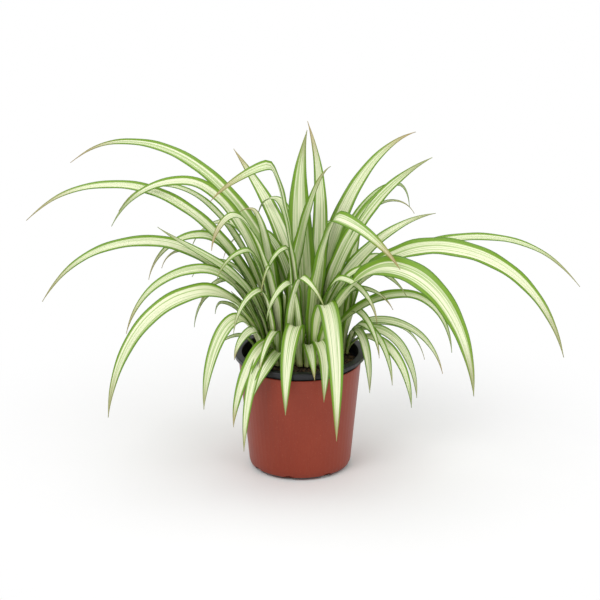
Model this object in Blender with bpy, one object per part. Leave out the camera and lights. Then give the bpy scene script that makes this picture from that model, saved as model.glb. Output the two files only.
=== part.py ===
"""A spider plant in a 13 cm nursery pot.

The pot is one thermoformed sheet, the soil fills it to a little below the rim, and four crowns stand in
the soil. Each strap leaf is one solid that rises from the ring of its crown, arches over and hangs.
The origin is the middle of the pot's base. X runs to the right, Y to the back and Z up.
"""

import math

import bmesh
import bpy
from mathutils import Quaternion, Vector

MM = 0.001

# The pot: outside radii and heights, in millimetres.
POT_HEIGHT = 121.0
POT_WALL = 1.2
POT_FOOT_RADIUS = 46.0
POT_HEEL_RADIUS = 51.6
POT_HEEL_HEIGHT = 7.0
POT_SHOULDER_RADIUS = 61.6
POT_SHOULDER_HEIGHT = 111.5
POT_NECK_RADIUS = 60.0
RIM_RADIUS = 66.0
RIM_INNER_RADIUS = 58.6
RIM_SKIRT_HEIGHT = 4.0
POT_SIDES = 64
NOTCH_COUNT = 8
NOTCH_WIDTH = 13.5
NOTCH_HEIGHT = 4.6
NOTCH_TURN = -12.6

# The soil, which keeps GAP to the pot.
GAP = 0.3
SOIL_HEIGHT = 110.0
SOIL_EDGE_DROP = 2.0

# Each crown: its place in the pot, and the same short stump for all.
CROWNS = {"left": (-17.0, 0.0), "middle": (5.0, -8.0), "rear": (10.0, 9.0), "right": (42.0, 20.0)}
CROWN_RADIUS = 2.6
CROWN_HEIGHT = 11.0

# Every leaf is a folded strap of this thickness. Its base stands in the ring of its crown, and a leaf of
# a higher ring number stands further out and arches lower.
LEAF_THICKNESS = 0.5
LEAF_FLOOR = 1.2
RING_START = 3.7
RING_STEP = 1.8
BASE_WIDTH = 0.28
TIP_WIDTH = 0.9
FOLD_AT_BASE = 38.0
FOLD_ALONG = 20.0
LEAF_STEPS = 14
ROUND_BOW = 0.55

# name, crown, ring, heading at the base (degrees from +X), turn towards the tip, crest (reach, height),
# tip (reach, height), width, bow of the crest (0.2 is a sharp bend, 0.55 a round arch) and how far the
# face is turned towards the front. Reach runs from the crown's middle, and height from the pot's base.
# A leaf whose tip is its crest is still rising there.
LEAVES = [
    ("leaf_back_left_1", "rear", 3, 152, 6, (188, 311), (270, 280), 13, 0.50, 30),
    ("leaf_back_left_2", "rear", 3, 118, 6, (150, 290), (150, 290), 15, 0.30, 20),
    ("leaf_left_1", "left", 0, 172, 18, (100, 300), (170, 256), 15, 0.50, 30),
    ("leaf_left_2", "left", 2, 158, 14, (120, 285), (170, 255), 8, 0.50, 20),
    ("leaf_left_3", "left", 1, 178, 0, (165, 294), (255, 256), 13, 0.50, 30),
    ("leaf_left_4", "left", 5, 193, 0, (126, 262), (126, 262), 12, 0.20, 30),
    ("leaf_left_5", "left", 6, 165, 16, (82, 239), (136, 191), 12, 0.45, 30),
    ("leaf_left_6", "left", 6, 182, 2, (135, 239), (240, 178), 13, 0.50, 35),
    ("leaf_left_7", "left", 8, 168, 14, (100, 224), (122, 205), 8, 0.45, 25),
    ("leaf_left_8", "left", 7, 195, 2, (88, 216), (161, 156), 11, 0.50, 35),
    ("leaf_left_9", "left", 5, 143, 50, (70, 210), (96, 194), 7, 0.45, 20),
    ("leaf_left_10", "left", 9, 200, 8, (88, 195), (188, 79), 16, 0.50, 35),
    ("leaf_left_11", "left", 9, 180, 20, (67, 186), (90, 151), 6, 0.45, 25),
    ("leaf_left_12", "left", 9, 156, -20, (63, 172), (63, 172), 8, 0.30, 20),
    ("leaf_left_13", "left", 10, 176, 10, (62, 172), (68, 160), 8, 0.40, 20),
    ("leaf_left_14", "left", 11, 204, 34, (54, 164), (98, 80), 12, 0.35, 35),
    ("leaf_left_15", "left", 12, 219, 0, (39, 152), (62, 126), 9, 0.40, 30),
    ("leaf_left_16", "left", 12, 188, 10, (46, 140), (65, 133), 6, 0.45, 20),
    ("leaf_left_17", "left", 9, 130, 15, (32, 138), (45, 132), 11, 0.45, 20),
    ("leaf_front_1", "left", 8, 238, 0, (30, 139), (92, 70), 11, 0.40, 20),
    ("leaf_front_2", "left", 9, 242, 16, (34, 133), (100, 50), 9, 0.40, 20),
    ("leaf_front_3", "left", 9, 265, -50, (34, 131), (86, 90), 11, 0.45, 0),
    ("leaf_front_4", "middle", 6, 244, 26, (24, 158), (76, 84), 14, 0.25, 0),
    ("leaf_front_5", "middle", 6, 278, 0, (24, 139), (68, 119), 10, 0.40, 0),
    ("leaf_front_6", "middle", 8, 302, -44, (28, 142), (80, 99), 11, 0.40, 0),
    ("leaf_front_7", "middle", 7, 307, -44, (42, 186), (94, 62), 16, 0.20, 10),
    ("leaf_right_1", "right", 3, 318, -40, (22, 141), (52, 84), 8, 0.40, 10),
    ("leaf_right_2", "right", 0, 12, -16, (34, 143), (104, 84), 9, 0.50, 30),
    ("leaf_right_3", "right", 1, -6, -13, (30, 138), (78, 67), 10, 0.50, 30),
    ("leaf_right_4", "right", 2, -24, -12, (31, 132), (80, 66), 9, 0.50, 30),
    ("leaf_right_5", "right", 2, 26, -12, (37, 136), (92, 90), 6, 0.50, 20),
    ("leaf_right_6", "middle", 7, 8, -22, (100, 183), (148, 123), 10, 0.50, 35),
    ("leaf_right_7", "right", 0, 70, 0, (58, 230), (58, 230), 12, 0.20, 0),
    ("leaf_right_8", "middle", 7, -33, -3, (108, 232), (198, 120), 24, 0.50, 30),
    ("leaf_right_9", "middle", 4, -11, -11, (142, 245), (264, 146), 20, 0.50, 30),
    ("leaf_right_10", "middle", 1, 7, -14, (174, 242), (274, 193), 12, 0.50, 20),
    ("leaf_back_right_1", "rear", 2, 68, -42, (150, 317), (150, 317), 15, 0.50, 30),
    ("leaf_back_right_2", "rear", 4, 33, -34, (92, 286), (104, 262), 11, 0.45, 30),
    ("leaf_back_right_3", "rear", 2, 16, -8, (124, 314), (124, 314), 18, 0.40, 30),
    ("leaf_back_right_5", "middle", 0, 19, -10, (134, 259), (134, 259), 14, 0.50, 30),
    ("leaf_back_right_6", "rear", 5, 35, -35, (88, 268), (110, 254), 7, 0.45, 20),
    ("leaf_centre_1", "rear", 1, 166, -116, (40, 340), (40, 340), 23, 0.30, 0),
    ("leaf_centre_2", "rear", 1, 36, 90, (62, 342), (62, 342), 14, 0.30, 0),
    ("leaf_centre_3", "left", 1, 9, 0, (48, 313), (48, 313), 18, 0.50, 20),
    ("leaf_centre_4", "left", 2, 230, -24, (63, 277), (86, 245), 16, 0.35, 20),
    ("leaf_centre_5", "middle", 2, 206, 0, (40, 324), (102, 297), 18, 0.25, 30),
    ("leaf_centre_6", "middle", 3, 320, 0, (42, 273), (120, 238), 20, 0.30, 20),
    ("leaf_centre_7", "left", 7, 291, 12, (48, 214), (88, 196), 10, 0.45, 20),
    ("leaf_centre_8", "middle", 5, 205, 0, (20, 236), (48, 190), 8, 0.40, 20),
    ("leaf_back_1", "rear", 5, 92, 10, (76, 222), (140, 120), 14, 0.50, 0),
    ("leaf_back_2", "left", 3, 105, -10, (65, 200), (120, 90), 12, 0.50, 0),
    ("leaf_back_3", "right", 1, 102, 6, (55, 190), (105, 90), 11, 0.50, 0),
    ("leaf_back_4", "rear", 5, 74, 10, (54, 174), (94, 100), 10, 0.50, 0),
    ("leaf_back_5", "left", 5, 86, 0, (44, 162), (92, 84), 9, 0.50, 0),
]


def clear_scene():
    for old in list(bpy.data.objects):
        bpy.data.objects.remove(old, do_unlink=True)


def finish(name, colour, roughness, metallic=0.0):
    """A plain Principled material."""
    material = bpy.data.materials.new(name)
    material.use_nodes = True
    shader = material.node_tree.nodes["Principled BSDF"]
    shader.inputs["Base Color"].default_value = (*colour, 1.0)
    shader.inputs["Roughness"].default_value = roughness
    shader.inputs["Metallic"].default_value = metallic
    return material


def place(mesh_data, name, material):
    """Turns a bmesh into a named object with its material."""
    mesh = bpy.data.meshes.new(name)
    mesh_data.to_mesh(mesh)
    mesh_data.free()
    mesh.materials.append(material)
    mesh.shade_smooth()
    mesh.set_sharp_from_angle(angle=math.radians(40))
    made = bpy.data.objects.new(name, mesh)
    bpy.context.scene.collection.objects.link(made)
    return made


def turned(profile, sides, centre=(0.0, 0.0)):
    """Spins a profile of (radius, height) in millimetres, which starts and ends on the axis."""
    shape = bmesh.new()
    ring = [shape.verts.new((radius * MM, 0.0, height * MM)) for radius, height in profile]
    edges = [shape.edges.new(pair) for pair in zip(ring, ring[1:])]
    bmesh.ops.spin(
        shape,
        geom=ring + edges,
        cent=(0, 0, 0),
        axis=(0, 0, 1),
        angle=math.tau,
        steps=sides,
        use_merge=True,
    )
    bmesh.ops.remove_doubles(shape, verts=shape.verts, dist=0.01 * MM)
    bmesh.ops.recalc_face_normals(shape, faces=shape.faces)
    bmesh.ops.translate(shape, verts=shape.verts, vec=(centre[0] * MM, centre[1] * MM, 0.0))
    return shape


def pot_profile():
    """The wall's outside from the base's middle up and over the rim, then its inside back down."""
    heel = [(48.8, 0.8), (50.7, 3.1)]
    outside = [(0.0, 0.0), (POT_FOOT_RADIUS, 0.0), *heel, (POT_HEEL_RADIUS, POT_HEEL_HEIGHT)]
    outside += [(POT_SHOULDER_RADIUS, POT_SHOULDER_HEIGHT), (POT_NECK_RADIUS, POT_SHOULDER_HEIGHT + 1.4)]
    skirt = POT_HEIGHT - RIM_SKIRT_HEIGHT
    under_lip = POT_HEIGHT - POT_WALL
    outside += [(POT_NECK_RADIUS, under_lip), (RIM_RADIUS - POT_WALL, under_lip)]
    outside += [(RIM_RADIUS - POT_WALL, skirt), (RIM_RADIUS, skirt), (RIM_RADIUS, POT_HEIGHT - 0.7)]
    outside += [(RIM_RADIUS - 0.7, POT_HEIGHT), (RIM_INNER_RADIUS + 0.5, POT_HEIGHT)]
    inside = [(RIM_INNER_RADIUS, POT_HEIGHT - 0.5), (RIM_INNER_RADIUS, POT_SHOULDER_HEIGHT + 0.9)]
    inside += [(POT_SHOULDER_RADIUS - POT_WALL, POT_SHOULDER_HEIGHT - 0.5)]
    inside += [(POT_HEEL_RADIUS - POT_WALL, POT_HEEL_HEIGHT), (49.6, 4.0), (47.9, 2.0)]
    inside += [(POT_FOOT_RADIUS - 0.4, POT_WALL), (0.0, POT_WALL)]
    return outside + inside


def drainage_cutter(index):
    """An arched prism that cuts one drainage notch out of the heel."""
    half = NOTCH_WIDTH / 2
    steps = 8
    turns = [math.pi * k / steps for k in range(steps + 1)]
    arch = [(-half * math.cos(turn), NOTCH_HEIGHT * math.sin(turn)) for turn in turns]
    outline = [(-half, -2.0), *arch, (half, -2.0)]
    shape = bmesh.new()
    near = [shape.verts.new((44.5 * MM, across * MM, height * MM)) for across, height in outline]
    face = shape.faces.new(near)
    pushed = bmesh.ops.extrude_face_region(shape, geom=[face])
    far = [item for item in pushed["geom"] if isinstance(item, bmesh.types.BMVert)]
    bmesh.ops.translate(shape, verts=far, vec=(12 * MM, 0, 0))
    bmesh.ops.recalc_face_normals(shape, faces=shape.faces)
    mesh = bpy.data.meshes.new("drainage_cutter")
    shape.to_mesh(mesh)
    shape.free()
    cutter = bpy.data.objects.new(f"drainage_cutter_{index}", mesh)
    bpy.context.scene.collection.objects.link(cutter)
    cutter.rotation_euler.z = math.radians(NOTCH_TURN - 90.0 + index * 360.0 / NOTCH_COUNT)
    cutter.hide_render = True
    cutter.display_type = "WIRE"
    return cutter


def make_pot():
    plastic = finish("terracotta_plastic", (0.31, 0.06, 0.025), 0.4)
    pot = place(turned(pot_profile(), POT_SIDES), "pot", plastic)
    for index in range(NOTCH_COUNT):
        cut = pot.modifiers.new(f"drainage_{index}", "BOOLEAN")
        cut.operation = "DIFFERENCE"
        cut.solver = "EXACT"
        cut.object = drainage_cutter(index)


def make_soil():
    """The soil fills the pot from its floor, and keeps clear of the drainage notches."""
    floor = NOTCH_HEIGHT + 1.0
    inner_foot = POT_HEEL_RADIUS - POT_WALL - GAP - 0.6
    inner_top = POT_SHOULDER_RADIUS - POT_WALL - GAP - 0.5
    edge = SOIL_HEIGHT - SOIL_EDGE_DROP
    profile = [(0.0, POT_WALL + GAP), (43.5, POT_WALL + GAP), (43.5, floor), (inner_foot, floor + 1.6)]
    profile += [(inner_top, edge - 2.5), (inner_top - 1.5, edge), (50.0, SOIL_HEIGHT), (0.0, SOIL_HEIGHT)]
    place(turned(profile, 48), "soil", finish("potting_mix", (0.035, 0.022, 0.014), 0.95))


def make_crown(name, centre):
    """The short stump that the leaves of one crown stand around."""
    foot = SOIL_HEIGHT + GAP
    top = foot + CROWN_HEIGHT
    profile = [(0.0, foot), (CROWN_RADIUS, foot), (CROWN_RADIUS, top - 3.0)]
    profile += [(CROWN_RADIUS * 0.6, top - 0.6), (0.0, top)]
    place(turned(profile, 16, centre), f"crown_{name}", finish("crown_green", (0.45, 0.5, 0.2), 0.5))


def bezier(points, count):
    """Points along a cubic curve in the leaf's own upright plane."""
    found = []
    for k in range(count + 1):
        t = k / count
        s = 1.0 - t
        weights = (s**3, 3 * s * s * t, 3 * s * t * t, t**3)
        reach = sum(w * p[0] for w, p in zip(weights, points))
        height = sum(w * p[1] for w, p in zip(weights, points))
        found.append((reach, height))
    return found


def leaf_arch(start, crest, tip, bow):
    """(reach, height) points along a leaf: up to its crest, then over and down to its tip."""
    out = crest[0] - start[0]
    up = crest[1] - start[1]
    rise = (start[0] + 0.10 * out, start[1] + (0.80 - 0.60 * bow) * up)
    if tip == crest:
        slope = up / out * (1.0 - bow / ROUND_BOW)
        return bezier([start, rise, (crest[0] - 0.45 * out, crest[1] - 0.45 * out * slope), crest], 40)
    over = tip[0] - crest[0]
    fall = crest[1] - tip[1]
    hang = min(1.0, fall / over)
    shoulder = (crest[0] + bow * (1.0 + 0.2 * hang) * over, crest[1])
    climb = bezier([start, rise, (crest[0] - bow * out, crest[1]), crest], 40)
    bend = bezier([crest, shoulder, (tip[0] - (0.35 - 0.3 * hang) * over, tip[1] + 0.5 * fall), tip], 40)
    return climb + bend[1:]


def spaced(path, count):
    """The path again, as count + 1 points at equal distances along it, each with its share of the way."""
    lengths = [0.0]
    for here, there in zip(path, path[1:]):
        lengths.append(lengths[-1] + math.dist(here, there))
    found = []
    at = 0
    for k in range(count + 1):
        want = lengths[-1] * k / count
        while at < len(path) - 2 and lengths[at + 1] < want:
            at += 1
        part = (want - lengths[at]) / (lengths[at + 1] - lengths[at])
        found.append(tuple(a + (b - a) * part for a, b in zip(path[at], path[at + 1])))
    return found


def leaf_spine(crown, ring, heading, turn, crest, tip, bow):
    """The leaf's middle line in space: its upright arch, whose plane turns a little on the way."""
    start = (RING_START + RING_STEP * ring, SOIL_HEIGHT + LEAF_FLOOR)
    arch = spaced(leaf_arch(start, crest, tip, bow), LEAF_STEPS)
    centre = CROWNS[crown]
    angle = math.radians(heading)
    x = centre[0] + start[0] * math.cos(angle)
    y = centre[1] + start[0] * math.sin(angle)
    spine = [Vector((x, y, start[1]))]
    for k in range(1, len(arch)):
        angle = math.radians(heading + turn * (k - 0.5) / LEAF_STEPS)
        step = arch[k][0] - arch[k - 1][0]
        x += step * math.cos(angle)
        y += step * math.sin(angle)
        spine.append(Vector((x, y, arch[k][1])))
    return spine


def ease(value):
    value = max(0.0, min(1.0, value))
    return value * value * (3.0 - 2.0 * value)


def leaf_width(share, width):
    """The strap's width: a narrow folded base, full width a third of the way up, then a long taper."""
    swell = BASE_WIDTH + (1.0 - BASE_WIDTH) * ease(share / 0.38)
    taper = max(0.0, 1.0 - share**2.2) ** 0.9
    return max(TIP_WIDTH, width * swell * taper)


def make_leaf(name, crown, ring, heading, turn, crest, tip, width, bow, facing, material):
    """A folded strap: a grid two faces wide, bent along the leaf's middle line and given thickness."""
    spine = leaf_spine(crown, ring, heading, turn, crest, tip, bow)
    side_of_pot = math.copysign(1.0, math.cos(math.radians(heading)))
    shape = bmesh.new()
    bmesh.ops.create_grid(shape, x_segments=2, y_segments=LEAF_STEPS, size=1.0)
    for vert in shape.verts:
        step = round((vert.co.y + 1.0) / 2.0 * LEAF_STEPS)
        side = round(vert.co.x)
        share = step / LEAF_STEPS
        along = (spine[min(step + 1, LEAF_STEPS)] - spine[max(step - 1, 0)]).normalized()
        angle = math.radians(heading + turn * share)
        across = Vector((math.sin(angle), -math.cos(angle), 0.0))
        across.rotate(Quaternion(along, math.radians(side_of_pot * facing * ease(share / 0.6))))
        upward = across.cross(along).normalized()
        half = leaf_width(share, width) / 2
        fold = math.radians(FOLD_AT_BASE + (FOLD_ALONG - FOLD_AT_BASE) * ease(share / 0.5))
        offset = across * (side * half * math.cos(fold)) + upward * (abs(side) * half * math.sin(fold))
        vert.co = (spine[step] + offset) * MM
    bmesh.ops.recalc_face_normals(shape, faces=shape.faces)
    leaf = place(shape, name, material)
    thickness = leaf.modifiers.new("thickness", "SOLIDIFY")
    thickness.thickness = LEAF_THICKNESS * MM
    thickness.offset = 0.0


def build():
    clear_scene()
    make_pot()
    make_soil()
    for name, centre in CROWNS.items():
        make_crown(name, centre)
    leaf_green = finish("variegated_leaf", (0.30, 0.42, 0.12), 0.45)
    for row in LEAVES:
        make_leaf(*row, leaf_green)


build()
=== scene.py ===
# %% [markdown]
# # A potted spider plant
#
# The plant is a tuft of long strap leaves with a cream middle and green margins, in a thin plastic pot.
# The solids that MuJoCo uses are coarse. Here each leaf is rebuilt as a fine curved sheet along the same
# arch, the soil gets its crumbs, and the pot keeps its solid and gets its finish. Lengths in the tables are
# millimetres, and MM turns them into Blender's metres.

# %% The frame
import math
import random

import bmesh
import bpy
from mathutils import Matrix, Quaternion, Vector, noise


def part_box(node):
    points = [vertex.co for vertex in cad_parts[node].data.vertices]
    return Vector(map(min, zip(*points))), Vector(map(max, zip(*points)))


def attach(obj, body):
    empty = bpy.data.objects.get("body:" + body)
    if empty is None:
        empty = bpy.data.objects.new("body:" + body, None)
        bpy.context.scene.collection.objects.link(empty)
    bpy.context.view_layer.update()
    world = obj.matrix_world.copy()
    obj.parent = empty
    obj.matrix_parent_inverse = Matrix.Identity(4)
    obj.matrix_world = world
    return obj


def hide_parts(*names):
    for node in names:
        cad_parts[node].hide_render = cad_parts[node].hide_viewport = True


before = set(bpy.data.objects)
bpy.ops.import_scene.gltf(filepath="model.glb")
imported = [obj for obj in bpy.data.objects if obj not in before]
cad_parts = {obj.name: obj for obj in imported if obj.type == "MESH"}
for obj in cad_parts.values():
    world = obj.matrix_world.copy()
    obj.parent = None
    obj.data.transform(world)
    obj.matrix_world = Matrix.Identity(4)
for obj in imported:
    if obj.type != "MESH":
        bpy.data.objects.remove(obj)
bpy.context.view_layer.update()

MM = 0.001

# %% [markdown]
# ## Shader maths as Python
#
# A material here is mostly arithmetic on masks. A small class wraps a socket so that `mask * 0.5 + 0.1`
# adds the Math nodes itself, and one method adds any other node.


# %% The shader helpers
class Value:
    """A socket whose operators add Math nodes."""

    def __init__(self, made, socket):
        self.made = made
        self.socket = socket

    def maths(self, operation, *others):
        return self.made.add("ShaderNodeMath", {"operation": operation}, self, *others)

    def __add__(self, other):
        return self.maths("ADD", other)

    def __radd__(self, other):
        return self.maths("ADD", other)

    def __sub__(self, other):
        return self.maths("SUBTRACT", other)

    def __rsub__(self, other):
        return self.made.add("ShaderNodeMath", {"operation": "SUBTRACT"}, other, self)

    def __mul__(self, other):
        return self.maths("MULTIPLY", other)

    def __rmul__(self, other):
        return self.maths("MULTIPLY", other)

    def __truediv__(self, other):
        return self.maths("DIVIDE", other)

    def __pow__(self, other):
        return self.maths("POWER", other)

    def size(self):
        return self.maths("ABSOLUTE")

    def wave(self):
        return self.maths("SINE")

    def most(self, other):
        return self.maths("MAXIMUM", other)

    def between(self, low, high):
        """0 at low and 1 at high, with a soft start and end."""
        node = {"interpolation_type": "SMOOTHSTEP"}
        return self.made.add("ShaderNodeMapRange", node, self, low, high)


class Finish:
    """One material, and the way to add nodes to it."""

    def __init__(self, name):
        self.material = bpy.data.materials.new(name)
        self.material.use_nodes = True
        self.tree = self.material.node_tree
        self.shader = self.tree.nodes["Principled BSDF"]

    def feed(self, socket, value):
        if isinstance(value, Value):
            self.tree.links.new(value.socket, socket)
        elif value is not None:
            socket.default_value = value

    def add(self, kind, settings, *values, output=0, **named):
        node = self.tree.nodes.new(kind)
        for key, setting in settings.items():
            setattr(node, key, setting)
        for index, value in enumerate(values):
            self.feed(node.inputs[index], value)
        for key, value in named.items():
            self.feed(node.inputs[key.replace("_", " ")], value)
        return Value(self, node.outputs[output])

    def mix(self, share, first, second):
        node = self.tree.nodes.new("ShaderNodeMix")
        node.data_type = "RGBA"
        for index, value in ((0, share), (6, first), (7, second)):
            self.feed(node.inputs[index], value)
        return Value(self, node.outputs[2])

    def parts(self, value, kind="ShaderNodeSeparateXYZ"):
        """The three numbers inside a vector or a colour."""
        node = self.add(kind, {}, value).socket.node
        return [Value(self, node.outputs[k]) for k in range(3)]

    def noise(self, place, scale, detail=3.0):
        return self.add("ShaderNodeTexNoise", {}, Vector=place, Scale=scale, Detail=detail)

    def place(self):
        return self.add("ShaderNodeTexCoord", {}, output=3)

    def attribute(self, name):
        return self.add("ShaderNodeAttribute", {"attribute_name": name})

    def set(self, **values):
        for key, value in values.items():
            self.feed(self.shader.inputs[key.replace("_", " ")], value)
        return self.material

    def bump(self, height, distance, strength=1.0):
        return self.add("ShaderNodeBump", {}, Height=height, Distance=distance, Strength=strength)


def rgb(red, green, blue):
    """A colour as painters write it, 0 to 255, made linear."""
    return tuple((c / 255) ** 2.2 for c in (red, green, blue)) + (1.0,)


print("shader helpers ready")

# %% [markdown]
# ## The leaves' places
#
# A leaf lies in an upright plane through its crown: it rises, reaches a crest and falls to its tip. The
# table is the same as in the solids, so each sheet runs down the middle of its solid. FULLNESS and
# BASE_WIDTH make the sheets wider than the solids: about 1.5 times at the widest place and 2.3 times at
# the base, so neighbouring sheets cross in places where the solids don't.

# %% The leaf table
SOIL_HEIGHT = 110.0
LEAF_FLOOR = 1.2
RING_START = 3.7
RING_STEP = 1.8
BASE_WIDTH = 0.45
FULLNESS = 1.42
FOLD_AT_BASE = 38.0
FOLD_ALONG = 20.0
ROUND_BOW = 0.55
FULL_WIDTH_AT = 0.38
LEAST_WIDTH = 0.5
CROWNS = {
    "left": (-17.0, 0.0),
    "middle": (5.0, -8.0),
    "rear": (10.0, 9.0),
    "right": (42.0, 20.0),
}

# name, crown, ring, heading, turn, crest (reach, height), tip (reach, height), width, bow, facing
LEAVES = [
    ("leaf_back_left_1", "rear", 3, 152, 6, (188, 311), (270, 280), 13, 0.50, 30),
    ("leaf_back_left_2", "rear", 3, 118, 6, (150, 290), (150, 290), 15, 0.30, 20),
    ("leaf_left_1", "left", 0, 172, 18, (100, 300), (170, 256), 15, 0.50, 30),
    ("leaf_left_2", "left", 2, 158, 14, (120, 285), (170, 255), 8, 0.50, 20),
    ("leaf_left_3", "left", 1, 178, 0, (165, 294), (255, 256), 13, 0.50, 30),
    ("leaf_left_4", "left", 5, 193, 0, (126, 262), (126, 262), 12, 0.20, 30),
    ("leaf_left_5", "left", 6, 165, 16, (82, 239), (136, 191), 12, 0.45, 30),
    ("leaf_left_6", "left", 6, 182, 2, (135, 239), (240, 178), 13, 0.50, 35),
    ("leaf_left_7", "left", 8, 168, 14, (100, 224), (122, 205), 8, 0.45, 25),
    ("leaf_left_8", "left", 7, 195, 2, (88, 216), (161, 156), 11, 0.50, 35),
    ("leaf_left_9", "left", 5, 143, 50, (70, 210), (96, 194), 7, 0.45, 20),
    ("leaf_left_10", "left", 9, 200, 8, (88, 195), (188, 79), 16, 0.50, 35),
    ("leaf_left_11", "left", 9, 180, 20, (67, 186), (90, 151), 6, 0.45, 25),
    ("leaf_left_12", "left", 9, 156, -20, (63, 172), (63, 172), 8, 0.30, 20),
    ("leaf_left_13", "left", 10, 176, 10, (62, 172), (68, 160), 8, 0.40, 20),
    ("leaf_left_14", "left", 11, 204, 34, (54, 164), (98, 80), 12, 0.35, 35),
    ("leaf_left_15", "left", 12, 219, 0, (39, 152), (62, 126), 9, 0.40, 30),
    ("leaf_left_16", "left", 12, 188, 10, (46, 140), (65, 133), 6, 0.45, 20),
    ("leaf_left_17", "left", 9, 130, 15, (32, 138), (45, 132), 11, 0.45, 20),
    ("leaf_front_1", "left", 8, 238, 0, (30, 139), (92, 70), 11, 0.40, 20),
    ("leaf_front_2", "left", 9, 242, 16, (34, 133), (100, 50), 9, 0.40, 20),
    ("leaf_front_3", "left", 9, 265, -50, (34, 131), (86, 90), 11, 0.45, 0),
    ("leaf_front_4", "middle", 6, 244, 26, (24, 158), (76, 84), 14, 0.25, 0),
    ("leaf_front_5", "middle", 6, 278, 0, (24, 139), (68, 119), 10, 0.40, 0),
    ("leaf_front_6", "middle", 8, 302, -44, (28, 142), (80, 99), 11, 0.40, 0),
    ("leaf_front_7", "middle", 7, 307, -44, (42, 186), (94, 62), 16, 0.20, 10),
    ("leaf_right_1", "right", 3, 318, -40, (22, 141), (52, 84), 8, 0.40, 10),
    ("leaf_right_2", "right", 0, 12, -16, (34, 143), (104, 84), 9, 0.50, 30),
    ("leaf_right_3", "right", 1, -6, -13, (30, 138), (78, 67), 10, 0.50, 30),
    ("leaf_right_4", "right", 2, -24, -12, (31, 132), (80, 66), 9, 0.50, 30),
    ("leaf_right_5", "right", 2, 26, -12, (37, 136), (92, 90), 6, 0.50, 20),
    ("leaf_right_6", "middle", 7, 8, -22, (100, 183), (148, 123), 10, 0.50, 35),
    ("leaf_right_7", "right", 0, 70, 0, (58, 230), (58, 230), 12, 0.20, 0),
    ("leaf_right_8", "middle", 7, -33, -3, (108, 232), (198, 120), 24, 0.50, 30),
    ("leaf_right_9", "middle", 4, -11, -11, (142, 245), (264, 146), 20, 0.50, 30),
    ("leaf_right_10", "middle", 1, 7, -14, (174, 242), (274, 193), 12, 0.50, 20),
    ("leaf_back_right_1", "rear", 2, 68, -42, (150, 317), (150, 317), 15, 0.50, 30),
    ("leaf_back_right_2", "rear", 4, 33, -34, (92, 286), (104, 262), 11, 0.45, 30),
    ("leaf_back_right_3", "rear", 2, 16, -8, (124, 314), (124, 314), 18, 0.40, 30),
    ("leaf_back_right_5", "middle", 0, 19, -10, (134, 259), (134, 259), 14, 0.50, 30),
    ("leaf_back_right_6", "rear", 5, 35, -35, (88, 268), (110, 254), 7, 0.45, 20),
    ("leaf_centre_1", "rear", 1, 166, -116, (40, 340), (40, 340), 23, 0.30, 0),
    ("leaf_centre_2", "rear", 1, 36, 90, (62, 342), (62, 342), 14, 0.30, 0),
    ("leaf_centre_3", "left", 1, 9, 0, (48, 313), (48, 313), 18, 0.50, 20),
    ("leaf_centre_4", "left", 2, 230, -24, (63, 277), (86, 245), 16, 0.35, 20),
    ("leaf_centre_5", "middle", 2, 206, 0, (40, 324), (102, 297), 18, 0.25, 30),
    ("leaf_centre_6", "middle", 3, 320, 0, (42, 273), (120, 238), 20, 0.30, 20),
    ("leaf_centre_7", "left", 7, 291, 12, (48, 214), (88, 196), 10, 0.45, 20),
    ("leaf_centre_8", "middle", 5, 205, 0, (20, 236), (48, 190), 8, 0.40, 20),
    ("leaf_back_1", "rear", 5, 92, 10, (76, 222), (140, 120), 14, 0.50, 0),
    ("leaf_back_2", "left", 3, 105, -10, (65, 200), (120, 90), 12, 0.50, 0),
    ("leaf_back_3", "right", 1, 102, 6, (55, 190), (105, 90), 11, 0.50, 0),
    ("leaf_back_4", "rear", 5, 74, 10, (54, 174), (94, 100), 10, 0.50, 0),
    ("leaf_back_5", "left", 5, 86, 0, (44, 162), (92, 84), 9, 0.50, 0),
]
print(len(LEAVES), "leaves")

# %% [markdown]
# ## The small leaves
#
# Between the long leaves stand shorter ones that fill the tuft. They are too small to matter to the solids,
# so they have no node of their own and only ride along.

# %% The small leaves
SMALL_LEAVES = [
    ("small_leaf_1", "left", 3, 150, 20, (60, 250), (98, 215), 9, 0.45, 20),
    ("small_leaf_2", "left", 4, 214, -10, (42, 235), (74, 208), 10, 0.40, 25),
    ("small_leaf_3", "left", 6, 232, -12, (36, 195), (70, 158), 8, 0.45, 20),
    ("small_leaf_4", "middle", 4, 240, -20, (28, 204), (58, 172), 9, 0.40, 20),
    ("small_leaf_5", "middle", 5, 330, 0, (42, 208), (82, 168), 10, 0.45, 20),
    ("small_leaf_6", "middle", 4, 346, 0, (62, 216), (104, 190), 10, 0.45, 25),
    ("small_leaf_7", "rear", 3, 120, 10, (58, 262), (90, 236), 13, 0.45, 10),
    ("small_leaf_8", "rear", 4, 142, 10, (60, 232), (104, 196), 12, 0.45, 10),
    ("small_leaf_9", "right", 2, 208, 8, (16, 147), (50, 130), 11, 0.40, 0),
    ("small_leaf_10", "right", 1, 300, 20, (26, 164), (58, 122), 8, 0.40, 10),
    ("small_leaf_11", "right", 3, -44, 10, (28, 148), (66, 92), 7, 0.50, 20),
    ("small_leaf_12", "right", 0, 42, 0, (42, 204), (74, 190), 10, 0.45, 20),
    ("small_leaf_13", "left", 4, 122, 0, (30, 224), (52, 210), 12, 0.40, 0),
    ("small_leaf_15", "left", 9, 252, -10, (24, 150), (62, 118), 8, 0.40, 0),
    ("small_leaf_17", "left", 7, 184, 12, (56, 200), (84, 172), 9, 0.45, 25),
    ("small_leaf_18", "middle", 6, 4, -10, (54, 190), (88, 168), 8, 0.45, 25),
    ("small_leaf_19", "rear", 3, 62, 0, (44, 240), (70, 226), 13, 0.40, 0),
    ("small_leaf_20", "left", 2, 140, 0, (40, 262), (56, 256), 13, 0.40, 10),
]
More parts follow.
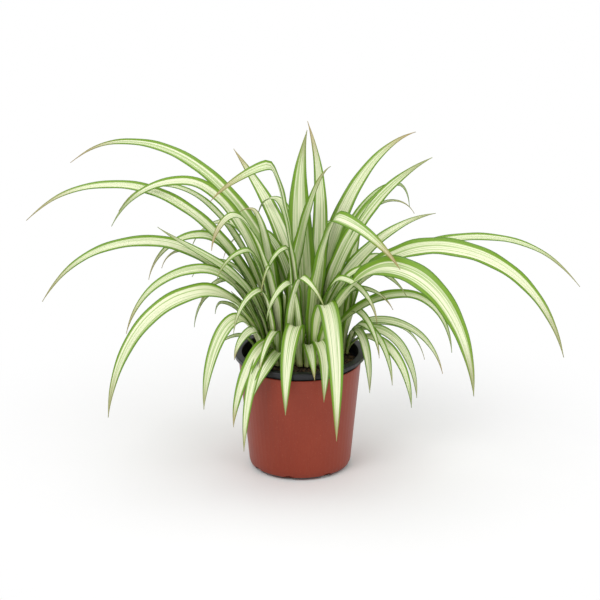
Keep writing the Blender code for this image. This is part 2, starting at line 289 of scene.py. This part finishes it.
print(len(SMALL_LEAVES), "small leaves")

# %% [markdown]
# ## The leaf's middle line
#
# Two cubic curves give the arch. The points are then spaced evenly, so that the stripes don't stretch.


# %% The arch
LEAF_STEPS = 64
LEAF_SIDES = 12
CURVE_POINTS = 80


def bezier(points, count):
    found = []
    for k in range(count + 1):
        t = k / count
        s = 1.0 - t
        weights = (s**3, 3 * s * s * t, 3 * s * t * t, t**3)
        reach = sum(w * p[0] for w, p in zip(weights, points))
        height = sum(w * p[1] for w, p in zip(weights, points))
        found.append((reach, height))
    return found


def leaf_arch(start, crest, tip, bow):
    out = crest[0] - start[0]
    up = crest[1] - start[1]
    rise = (start[0] + 0.10 * out, start[1] + (0.80 - 0.60 * bow) * up)
    if tip == crest:
        slope = up / out * (1.0 - bow / ROUND_BOW)
        lean = 0.45 * out
        below = (crest[0] - lean, crest[1] - lean * slope)
        return bezier([start, rise, below, crest], CURVE_POINTS)
    over = tip[0] - crest[0]
    fall = crest[1] - tip[1]
    hang = min(1.0, fall / over)
    shoulder = (crest[0] + bow * (1.0 + 0.2 * hang) * over, crest[1])
    above_tip = (tip[0] - (0.35 - 0.3 * hang) * over, tip[1] + 0.5 * fall)
    climb = bezier([start, rise, (crest[0] - bow * out, crest[1]), crest], CURVE_POINTS)
    bend = bezier([crest, shoulder, above_tip, tip], CURVE_POINTS)
    return climb + bend[1:]


def spaced(path, count):
    lengths = [0.0]
    for here, there in zip(path, path[1:]):
        lengths.append(lengths[-1] + math.dist(here, there))
    found = []
    at = 0
    for k in range(count + 1):
        want = lengths[-1] * k / count
        while at < len(path) - 2 and lengths[at + 1] < want:
            at += 1
        part = (want - lengths[at]) / (lengths[at + 1] - lengths[at])
        found.append(tuple(a + (b - a) * part for a, b in zip(path[at], path[at + 1])))
    return found, lengths[-1]


def leaf_spine(crown, ring, heading, turn, crest, tip, bow):
    start = (RING_START + RING_STEP * ring, SOIL_HEIGHT + LEAF_FLOOR)
    arch, length = spaced(leaf_arch(start, crest, tip, bow), LEAF_STEPS)
    centre = CROWNS[crown]
    angle = math.radians(heading)
    x = centre[0] + start[0] * math.cos(angle)
    y = centre[1] + start[0] * math.sin(angle)
    spine = [Vector((x, y, start[1]))]
    for k in range(1, len(arch)):
        angle = math.radians(heading + turn * (k - 0.5) / LEAF_STEPS)
        step = arch[k][0] - arch[k - 1][0]
        x += step * math.cos(angle)
        y += step * math.sin(angle)
        spine.append(Vector((x, y, arch[k][1])))
    return spine, length


def ease(value):
    value = max(0.0, min(1.0, value))
    return value * value * (3.0 - 2.0 * value)


def leaf_width(share, width):
    swell = BASE_WIDTH + (1.0 - BASE_WIDTH) * ease(share / FULL_WIDTH_AT)
    taper = max(0.0, 1.0 - share**3.0) ** 1.05
    return max(LEAST_WIDTH, width * FULLNESS * swell * taper)


print("arch ready")

# %% [markdown]
# ## The leaf's finish
#
# A variegated leaf is cream down the middle and green along both margins, with fine green lines between,
# all running the leaf's length. The sheet's own UV map gives the place across and along, so the stripes
# follow every bend. Fine ribs make the sheen run along the leaf. The stripe's width differs from leaf to
# leaf, so each leaf stores a number of its own as a colour attribute.


# %% The leaf finish
def leaf_finish():
    made = Finish("variegated_leaf")
    across, along, _ = made.parts(made.add("ShaderNodeUVMap", {"uv_map": "strap"}))
    seed, _, age = made.parts(made.attribute("leaf_own"), "ShaderNodeSeparateColor")
    edge = (across * 2.0 - 1.0).size()

    broad = made.add("ShaderNodeCombineXYZ", {}, across * 9.0, along * 0.9, seed * 40.0)
    lines = made.noise(broad, 1.6, 2.0)
    close = made.add("ShaderNodeCombineXYZ", {}, across * 34.0, along * 1.4, seed * 25.0)
    fine = made.noise(close, 1.0, 2.0)

    margin_at = 0.78 - seed * 0.20 - along * 0.10
    margin = (edge + (lines - 0.5) * 0.30 - margin_at).between(-0.05, 0.07)
    between = (lines + (fine - 0.5) * 0.6).between(0.47, 0.60) * (1.0 - margin) * 0.72
    tip = along.between(0.80, 0.99)

    cream = made.mix(fine, rgb(246, 247, 222), rgb(226, 232, 182))
    cream = made.mix(along.between(0.05, 0.55), rgb(206, 212, 160), cream)
    green = made.mix(fine, rgb(88, 134, 26), rgb(136, 172, 48))
    green = made.mix(edge.between(0.86, 1.0) * 0.7, green, rgb(66, 108, 30))
    colour = made.mix(between, cream, rgb(138, 176, 74))
    colour = made.mix(margin, colour, green)
    dry = made.mix(age, rgb(128, 152, 84), rgb(172, 140, 92))
    colour = made.mix(tip * 0.8, colour, dry)
    colour = made.mix((1.0 - along.between(0.0, 0.10)) * 0.5, colour, rgb(206, 204, 130))

    ribs = (across * 95.0).wave() * 0.5 + fine * 0.6
    return made.set(
        Base_Color=colour,
        Roughness=0.36 + fine * 0.16,
        Specular_IOR_Level=0.45,
        Normal=made.bump(ribs, 0.00012, 0.55),
    )


LEAF_FINISH = leaf_finish()
print("leaf finish ready")

# %% [markdown]
# ## The leaf sheets
#
# A leaf is a grid bent along its middle line. Its section is a soft V that opens towards the tip, and its
# edges wave a little. The Solidify modifier gives it the thickness of a leaf, and the grid's rows give the
# UV map.


# %% From a bmesh to an object
def piece(name, shape, finish, smooth=False):
    mesh = bpy.data.meshes.new(name)
    shape.to_mesh(mesh)
    shape.free()
    mesh.materials.append(finish)
    if smooth:
        mesh.shade_smooth()
    made = bpy.data.objects.new(name, mesh)
    bpy.context.scene.collection.objects.link(made)
    return made


# %% Build the leaves
SHEET_THICKNESS = 0.45
FOLD_SOFTNESS = 0.03
RIPPLE_HEIGHT = 0.05
RIPPLE_LENGTH = 38.0


def leaf_sheet(name, crown, ring, heading, turn, crest, tip, width, bow, facing):
    chance = random.Random(name)
    spine, length = leaf_spine(crown, ring, heading, turn, crest, tip, bow)
    side_of_pot = math.copysign(1.0, math.cos(math.radians(heading)))
    own = (chance.random(), 0.0, chance.random(), 1.0)
    waves = chance.uniform(0, math.tau)
    shape = bmesh.new()
    bmesh.ops.create_grid(shape, x_segments=LEAF_SIDES, y_segments=LEAF_STEPS, size=1.0)
    strap = shape.loops.layers.uv.new("strap")
    colours = shape.loops.layers.float_color.new("leaf_own")
    for face in shape.faces:
        for loop in face.loops:
            loop[strap].uv = ((loop.vert.co.x + 1.0) / 2.0, (loop.vert.co.y + 1.0) / 2.0)
            loop[colours] = own
    for vert in shape.verts:
        side = vert.co.x
        step = round((vert.co.y + 1.0) / 2.0 * LEAF_STEPS)
        share = step / LEAF_STEPS
        along = (spine[min(step + 1, LEAF_STEPS)] - spine[max(step - 1, 0)]).normalized()
        angle = math.radians(heading + turn * share)
        across = Vector((math.sin(angle), -math.cos(angle), 0.0))
        roll = side_of_pot * facing * ease(share / 0.6)
        across.rotate(Quaternion(along, math.radians(roll)))
        upward = across.cross(along).normalized()
        half = leaf_width(share, width) / 2
        fold = math.radians(FOLD_AT_BASE + (FOLD_ALONG - FOLD_AT_BASE) * ease(share / 0.5))
        depth = math.sqrt(side * side + FOLD_SOFTNESS) - math.sqrt(FOLD_SOFTNESS)
        rise = math.sin(fold) * depth
        phase = waves + length / RIPPLE_LENGTH * share * math.tau + side
        ripple = RIPPLE_HEIGHT * side * side * math.sin(phase)
        offset = across * (side * half * math.cos(fold)) + upward * (half * (rise + ripple))
        vert.co = (spine[step] + offset) * MM
    bmesh.ops.recalc_face_normals(shape, faces=shape.faces)
    leaf = piece(name + "_sheet", shape, LEAF_FINISH, smooth=True)
    body = leaf.modifiers.new("thickness", "SOLIDIFY")
    body.thickness = SHEET_THICKNESS * MM
    body.offset = 0.0
    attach(leaf, "root")
    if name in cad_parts:
        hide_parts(name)
    return leaf


sheets = [leaf_sheet(*row) for row in LEAVES + SMALL_LEAVES]
print("leaf sheets", len(sheets))

# %% [markdown]
# ## The pot
#
# The pot is one sheet in two colours: terracotta outside, black inside and over the rolled rim. The solid
# is right, so only its finish changes: the height and the distance from the axis say which colour shows,
# and the clay near the floor gets painted shade.


# %% The pot finish
FOOT_RADIUS = 0.0516
FOOT_HEIGHT = 0.007
WALL_SLOPE = 0.0957
RING_HEIGHT = 0.097


def pot_finish():
    made = Finish("two_tone_plastic")
    place = made.place()
    x, y, z = made.parts(place)
    radius = (x * x + y * y) ** 0.5
    wall = FOOT_RADIUS + (z - FOOT_HEIGHT) * WALL_SLOPE
    inside = (wall - radius).between(0.0005, 0.0008) * z.between(0.0009, 0.0013)
    rim_side = z.between(0.1166, 0.1169) * radius.between(0.0640, 0.0642)
    rim_top = z.between(0.1190, 0.1194)
    dark = inside.most(rim_side.most(rim_top))
    speck = made.noise(place, 900.0, 2.0)
    cloud = made.noise(place, 22.0, 3.0)
    clay = made.mix(cloud, rgb(128, 46, 26), rgb(144, 58, 36))
    clay = made.mix(speck.between(0.62, 0.75) * 0.5, clay, rgb(170, 92, 66))
    # Painted shade: the clay over the lowest 12 mm is mixed up to 35 % towards a darker brown, as if shaded
    # by the floor.
    painted_foot_shade = (1.0 - z.between(0.0, 0.012)) * 0.35
    clay = made.mix(painted_foot_shade, clay, rgb(110, 46, 32))
    black = made.mix(speck, rgb(22, 22, 24), rgb(40, 41, 44))
    ring = (1.0 - ((z - RING_HEIGHT).size()).between(0.0003, 0.0008)) * 0.5
    return made.set(
        Base_Color=made.mix(dark, clay, black),
        Roughness=0.36 + cloud * 0.12 - dark * 0.10,
        Specular_IOR_Level=0.38,
        Normal=made.bump(speck * 0.4 + cloud * 2.0 - ring, 0.0002, 0.5),
    )


pot = bpy.data.objects["pot"]
for slot in pot.material_slots:
    slot.material = pot_finish()
print("pot finish on", pot.name)

# %% [markdown]
# ## The soil
#
# Potting mix is dark crumbs of peat with bits of bark and a few pale grains. The bed is a turned disc
# whose top is pushed up and down, and over a thousand low-faced crumbs lie on it.


# %% The soil bed
def soil_finish(name, dark, light, scale):
    made = Finish(name)
    place = made.place()
    grain = made.noise(place, scale, 5.0)
    patch = made.noise(place, scale * 0.2, 3.0)
    colour = made.mix(grain.between(0.35, 0.7), dark, light)
    colour = made.mix(patch.between(0.55, 0.75) * 0.4, colour, rgb(84, 62, 44))
    return made.set(Base_Color=colour, Roughness=0.92, Normal=made.bump(grain, 0.0012, 0.9))


SOIL_LOW, SOIL_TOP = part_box("soil")
SOIL_RADIUS = SOIL_TOP[0]
SOIL_FINISH = soil_finish("potting_mix", rgb(40, 31, 24), rgb(98, 76, 56), 420.0)
BARK_FINISH = soil_finish("bark_crumb", rgb(70, 48, 30), rgb(134, 100, 66), 300.0)
PALE_FINISH = soil_finish("pale_grain", rgb(150, 138, 116), rgb(206, 198, 180), 300.0)
FLOOR_RADIUS = 0.0435
HEEL = (0.049, 0.0075)
CRUST = 0.0008
DISH = 0.0018
TOP_RINGS = 40


def soil_bed():
    top = SOIL_TOP[2]
    shape = bmesh.new()
    profile = [(0.0, SOIL_LOW[2]), (FLOOR_RADIUS, SOIL_LOW[2]), HEEL]
    profile += [(SOIL_RADIUS - 0.0002, top - 0.0048), (SOIL_RADIUS - 0.0012, top - 0.003)]
    for k in range(1, TOP_RINGS + 1):
        share = 1 - k / TOP_RINGS
        profile.append((SOIL_RADIUS * share, top - CRUST - DISH * share**4))
    ring = [shape.verts.new((radius, 0.0, height)) for radius, height in profile]
    edges = [shape.edges.new(pair) for pair in zip(ring, ring[1:])]
    bmesh.ops.spin(
        shape,
        geom=ring + edges,
        cent=(0, 0, 0),
        axis=(0, 0, 1),
        angle=math.tau,
        steps=120,
        use_merge=True,
    )
    bmesh.ops.remove_doubles(shape, verts=shape.verts, dist=1e-6)
    for vert in shape.verts:
        if vert.co.z > top - 0.0028:
            rough = noise.fractal(vert.co * 260, 0.7, 2.0, 4)
            vert.co.z += 0.0014 * max(-1.0, min(0.5, rough)) - 0.0002
    bmesh.ops.recalc_face_normals(shape, faces=shape.faces)
    bed = piece("soil_bed", shape, SOIL_FINISH, smooth=True)
    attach(bed, "root")
    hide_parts("soil")
    return bed


bed = soil_bed()
print("soil bed", len(bed.data.polygons), "faces")


# %% The crumbs
def crumbs(name, count, smallest, largest, finish, seed):
    """Low-faced lumps scattered over the soil's top, clear of the pot's wall."""
    chance = random.Random(seed)
    shape = bmesh.new()
    for _ in range(count):
        size = chance.uniform(smallest, largest) * MM
        reach = (SOIL_RADIUS - 0.004) * math.sqrt(chance.random())
        turn = chance.uniform(0, math.tau)
        lump = bmesh.ops.create_icosphere(shape, subdivisions=1, radius=size)["verts"]
        limits = ((0.6, 1.5), (0.6, 1.2), (0.4, 0.8))
        stretch = tuple(chance.uniform(low, high) for low, high in limits)
        bmesh.ops.scale(shape, verts=lump, vec=stretch)
        for vert in lump:
            vert.co *= chance.uniform(0.75, 1.2)
        spin = Quaternion(Vector((0, 0, 1)), chance.uniform(0, math.tau))
        place = Vector((reach * math.cos(turn), reach * math.sin(turn), SOIL_TOP[2] - CRUST))
        drop = DISH * (reach / SOIL_RADIUS) ** 4
        for vert in lump:
            vert.co = spin @ vert.co + place - Vector((0, 0, drop))
    made = piece(name, shape, finish)
    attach(made, "root")
    return made


crumbs("peat_crumbs", 900, 0.7, 2.0, SOIL_FINISH, 3)
crumbs("bark_crumbs", 260, 0.6, 1.7, BARK_FINISH, 4)
crumbs("pale_grains", 60, 0.4, 0.9, PALE_FINISH, 5)
print("crumbs scattered")

# %% [markdown]
# ## The crowns
#
# Each crown is a pale green stump between the leaf bases. The solid stays, with the yellow-green of a leaf
# base, a little browner at the soil.


# %% The crown finish
def crown_finish():
    made = Finish("crown_skin")
    height = made.parts(made.place())[2].between(0.110, 0.116)
    fibres = made.noise(made.place(), 500.0, 3.0)
    colour = made.mix(height, rgb(140, 112, 70), rgb(196, 200, 122))
    colour = made.mix(fibres * 0.4, colour, rgb(120, 128, 62))
    return made.set(Base_Color=colour, Roughness=0.55, Normal=made.bump(fibres, 0.0003, 0.5))


CROWN_FINISH = crown_finish()
for name in CROWNS:
    for slot in bpy.data.objects["crown_" + name].material_slots:
        slot.material = CROWN_FINISH
print("crowns finished")

# %% [markdown]
# ## The floor, the light and the camera
#
# A white sweep and broad soft lamps show the leaves' own colours. The camera stands well back with a long
# lens and looks down about twenty degrees.


# %% The stage
def white_floor():
    shape = bmesh.new()
    bmesh.ops.create_grid(shape, x_segments=1, y_segments=1, size=4.0)
    bmesh.ops.translate(shape, verts=shape.verts, vec=(0, 0, -0.0005))
    made = Finish("white_floor")
    made.set(Base_Color=(0.92, 0.92, 0.92, 1.0), Roughness=0.9)
    x, y, _ = made.parts(made.place())
    far = ((x * x + y * y) ** 0.5).between(0.10, 0.42)
    rays = made.tree.nodes.new("ShaderNodeLightPath")
    glossy = Value(made, rays.outputs["Is Glossy Ray"])
    seen = Value(made, rays.outputs["Is Camera Ray"]).most(glossy)
    glow = made.tree.nodes.new("ShaderNodeEmission")
    blend = made.tree.nodes.new("ShaderNodeMixShader")
    made.feed(blend.inputs[0], far * seen)
    made.tree.links.new(made.shader.outputs[0], blend.inputs[1])
    made.tree.links.new(glow.outputs[0], blend.inputs[2])
    made.tree.links.new(blend.outputs[0], made.tree.nodes["Material Output"].inputs[0])
    floor = piece("floor", shape, made.material)


def white_world():
    world = bpy.data.worlds.new("white")
    bpy.context.scene.world = world
    world.use_nodes = True
    tree = world.node_tree
    back = tree.nodes["Background"]
    back.inputs["Color"].default_value = (1.0, 1.0, 1.0, 1.0)
    seen = tree.nodes.new("ShaderNodeLightPath")
    level = tree.nodes.new("ShaderNodeMapRange")
    level.inputs["To Min"].default_value = 0.55
    level.inputs["To Max"].default_value = 1.0
    tree.links.new(seen.outputs["Is Camera Ray"], level.inputs["Value"])
    tree.links.new(level.outputs[0], back.inputs["Strength"])


def lamp(name, place, target, size, power):
    light = bpy.data.lights.new(name, "AREA")
    light.shape = "SQUARE"
    light.size = size
    light.energy = power
    made = bpy.data.objects.new(name, light)
    bpy.context.scene.collection.objects.link(made)
    made.location = place
    made.rotation_euler = (Vector(target) - Vector(place)).to_track_quat("-Z", "Y").to_euler()


def camera(aim, pitch, distance, lens):
    data = bpy.data.cameras.new("camera")
    data.lens = lens
    made = bpy.data.objects.new("camera", data)
    bpy.context.scene.collection.objects.link(made)
    down = math.radians(pitch)
    made.location = Vector(aim) + distance * Vector((0, -math.cos(down), math.sin(down)))
    made.rotation_euler = (math.radians(90 - pitch), 0, 0)
    bpy.context.scene.camera = made


white_floor()
white_world()
lamp("key", (-0.9, -1.3, 1.6), (0, 0, 0.2), 1.2, 19)
lamp("fill", (1.3, -1.0, 0.9), (0, 0, 0.2), 1.2, 8)
lamp("top", (0.1, 0.5, 1.9), (0, 0, 0.2), 1.4, 10)
camera(aim=(0, 0, 0.175), pitch=20.5, distance=3.0, lens=180)
bpy.context.scene.view_settings.view_transform = "Standard"
print("stage set")
